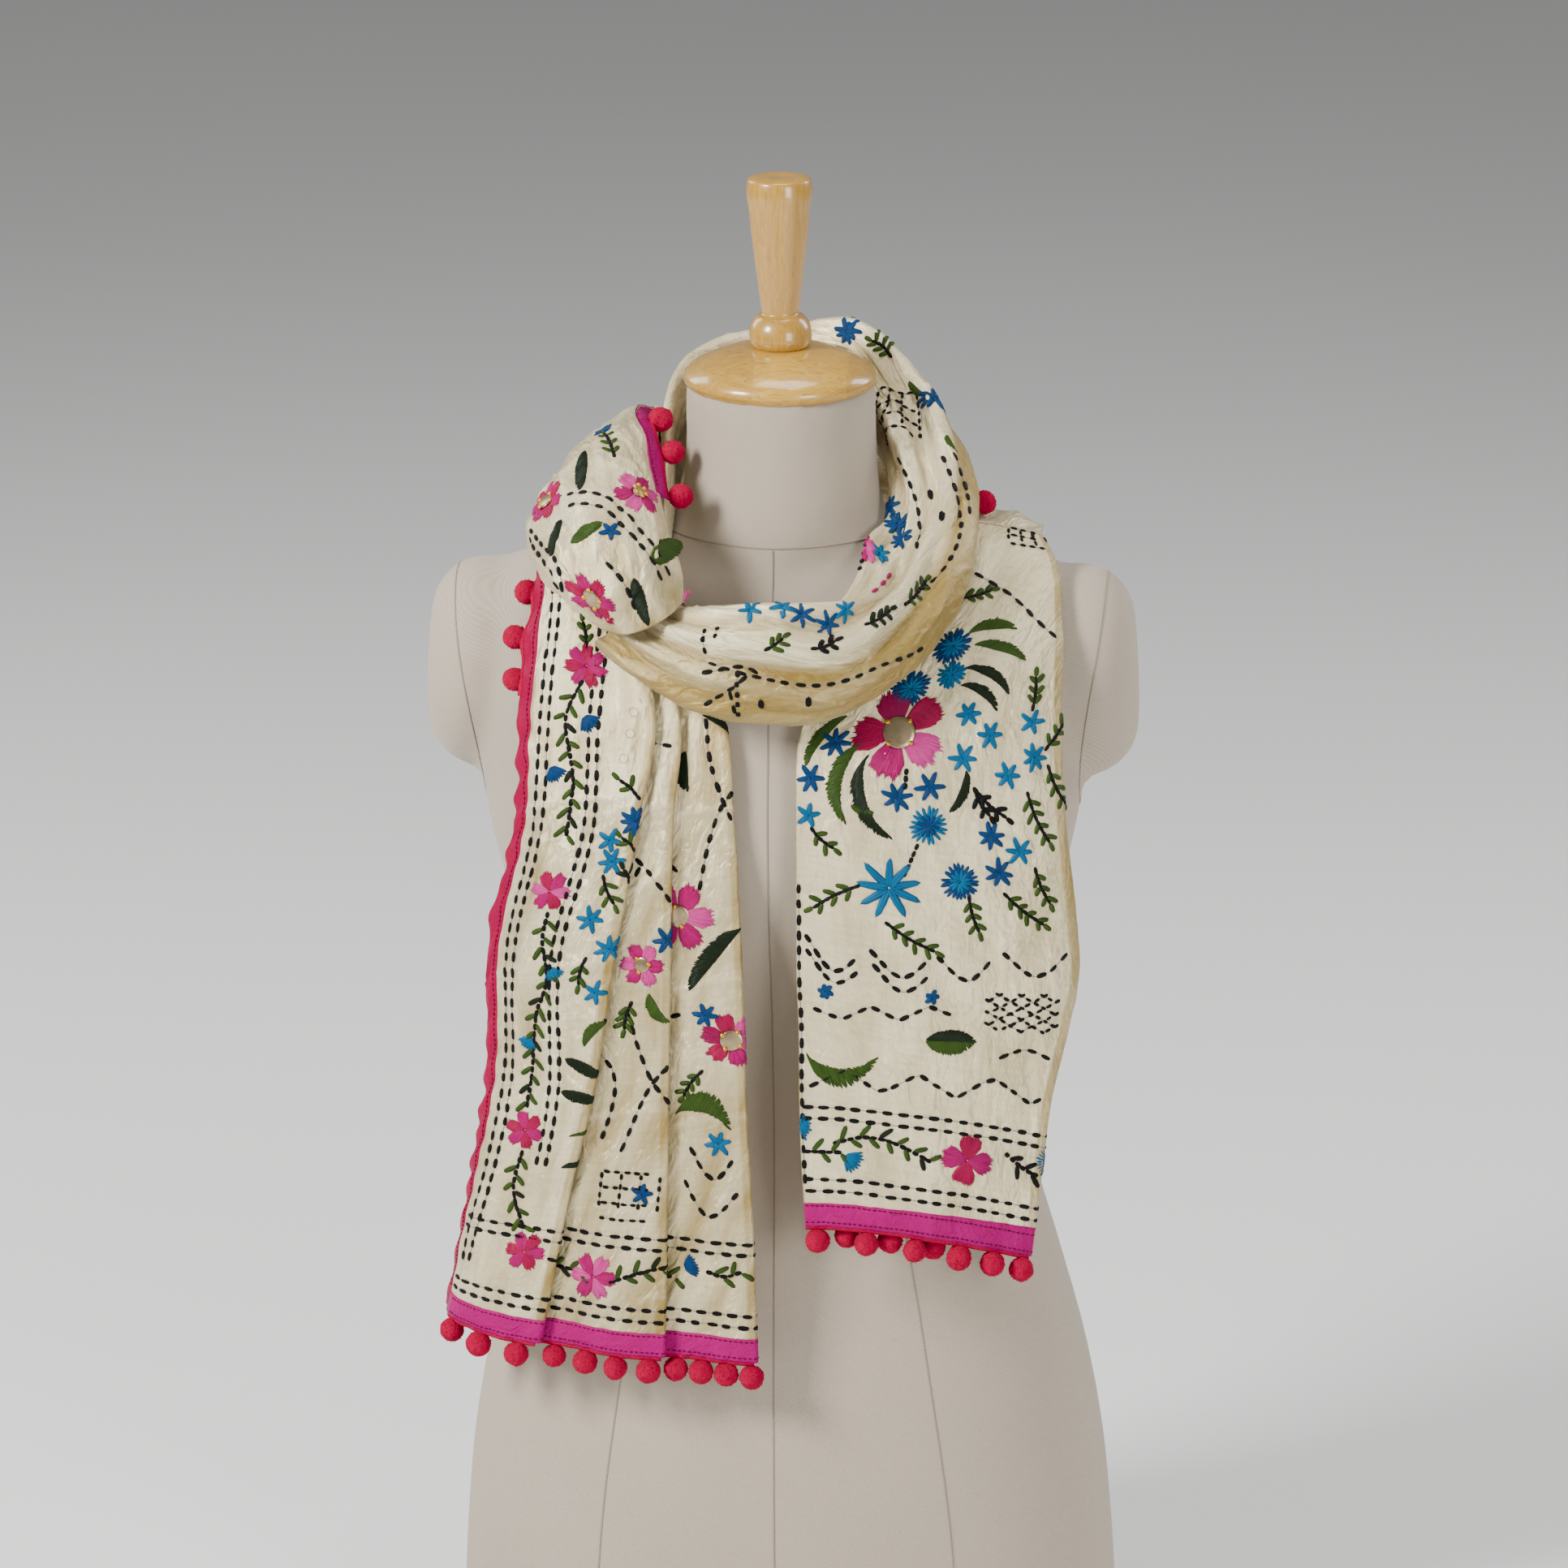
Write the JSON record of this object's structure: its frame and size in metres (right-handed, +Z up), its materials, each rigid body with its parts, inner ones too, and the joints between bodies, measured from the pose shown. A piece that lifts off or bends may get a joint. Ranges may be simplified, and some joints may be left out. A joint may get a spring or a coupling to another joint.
{
  "type": "embroidered stole on a limbless dress form",
  "caption": "Long silk stole with stitched flowers, satin bindings and wool pompoms, wound round the neck of a linen dress form with a turned wooden cap.",
  "frame": {"origin": "on the floor, under the middle of the box round the whole", "axes": "+Z up the form, +X to the viewer's right, -Y out of the chest towards the viewer"},
  "size_m": [0.4106, 0.2654, 0.904],
  "materials": {
    "linen": "matte, fine twill",
    "honey_wood": "clear gloss",
    "ivory_silk": "soft sheen, creased",
    "pink_satin": "satin",
    "crimson_wool": "fluffy"
  },
  "bodies": {
    "root": {"dress_form": "linen", "neck_cap": "honey_wood", "cap_handle": "honey_wood", "left_tail": "ivory_silk", "right_tail": "ivory_silk", "neck_layer": "ivory_silk", "front_loop": "ivory_silk", "shoulder_puff": "ivory_silk", "back_band": "ivory_silk", "left_side_border": "pink_satin", "left_hem_band": "pink_satin", "right_hem_band": "pink_satin", "neck_border": "pink_satin", "nape_border": "pink_satin", "left_hem_pompoms_1": "crimson_wool", "left_hem_pompoms_2": "crimson_wool", "left_hem_pompoms_3": "crimson_wool", "left_side_pompoms": "crimson_wool", "right_hem_pompoms": "crimson_wool", "right_inner_pompoms": "crimson_wool", "neck_pompoms": "crimson_wool", "nape_pompoms": "crimson_wool", "shoulder_pompom": "crimson_wool"}
  },
  "joints": []
}
